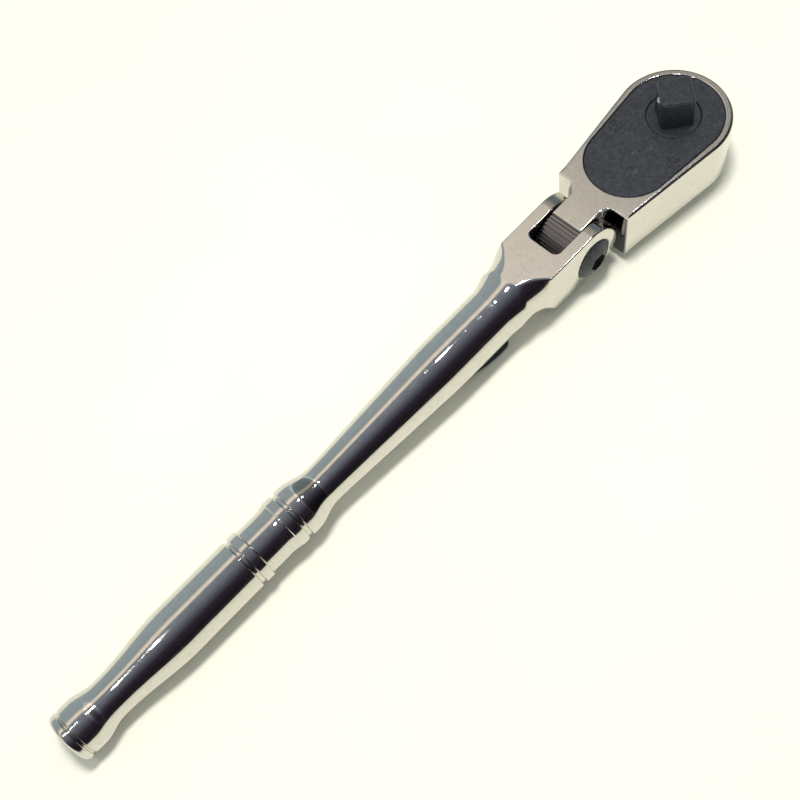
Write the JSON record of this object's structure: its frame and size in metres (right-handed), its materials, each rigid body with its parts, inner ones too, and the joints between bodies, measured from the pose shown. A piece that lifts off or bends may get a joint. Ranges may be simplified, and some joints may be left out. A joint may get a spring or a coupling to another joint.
{
  "type": "flex-head ratchet wrench",
  "caption": "Chromed ratchet wrench with a square drive, a locking tilt head, a reversing pawl and a turned handle.",
  "frame": {"origin": "on the drive axis, at mid-thickness of the head, with the head in line with the handle", "axes": "+X from the handle towards the tip of the head, +Z out along the drive square, +Y to the left"},
  "size_m": [0.254, 0.0338, 0.0321],
  "materials": {
    "chrome": "mirror-polished chrome plate, satin on the flats",
    "black_oxide": "black oxide on steel",
    "bright_steel": "bright ground steel",
    "spring_steel": "drawn spring steel",
    "bronze": "plain bronze shim stock",
    "rubber": "matt black nitrile rubber"
  },
  "bodies": {
    "handle": {"handle": "chrome", "hinge_nut": "black_oxide", "hinge_screw": "black_oxide", "hinge_shims": "bronze", "trigger_pin": "bright_steel", "lock_spring": "spring_steel"},
    "head": {"head_housing": "chrome", "cover_plate": "black_oxide", "cover_gasket": "rubber", "cover_screws": "black_oxide", "thrust_washer": "spring_steel", "pawl_pin": "bright_steel", "lever_o_ring": "rubber"},
    "drive": {"drive_gear": "black_oxide", "detent_spring": "spring_steel"},
    "ball": {"detent_ball": "bright_steel"},
    "lever": {"reverse_lever": "chrome", "reverse_plunger": "bright_steel", "reverse_spring": "spring_steel", "lever_clip": "spring_steel"},
    "pawl": {"pawl": "bright_steel"},
    "trigger": {"trigger": "black_oxide"},
    "lock": {"lock_plunger": "bright_steel"}
  },
  "joints": [
    {"name": "head_tilt", "type": "hinge", "parent": "handle", "child": "head", "pos_m": [-0.047, 0, 0], "axis": [0, 1, 0], "range_deg": [-75, 75]},
    {"name": "drive_spin", "type": "hinge", "parent": "head", "child": "drive", "pos_m": [0, 0, 0], "axis": [0, 0, 1], "continuous": true},
    {"name": "ball_press", "type": "slide", "parent": "drive", "child": "ball", "axis": [0.7694, -0.6388, 0], "range_m": [0, 0.00045], "deforming": ["detent_spring"]},
    {"name": "reverse_turn", "type": "hinge", "parent": "head", "child": "lever", "pos_m": [-0.027, 0, 0], "axis": [0, 0, 1], "range_deg": [-60, 0]},
    {"name": "pawl_rock", "type": "hinge", "parent": "head", "child": "pawl", "pos_m": [-0.0175, 0, 0], "axis": [0, 0, 1], "range_deg": [0, 5]},
    {"name": "trigger_press", "type": "hinge", "parent": "handle", "child": "trigger", "pos_m": [-0.09, 0, -0.006], "axis": [0, -1, 0], "range_deg": [0, 11]},
    {"name": "lock_slide", "type": "slide", "parent": "handle", "child": "lock", "axis": [-1, 0, 0], "range_m": [0, 0.0012], "deforming": ["lock_spring"]}
  ],
  "couplings": [
    {"joint": "pawl_rock", "follows": "reverse_turn", "ratio": -0.083333},
    {"joint": "lock_slide", "follows": "trigger_press", "m_per_rad": 0.006}
  ]
}
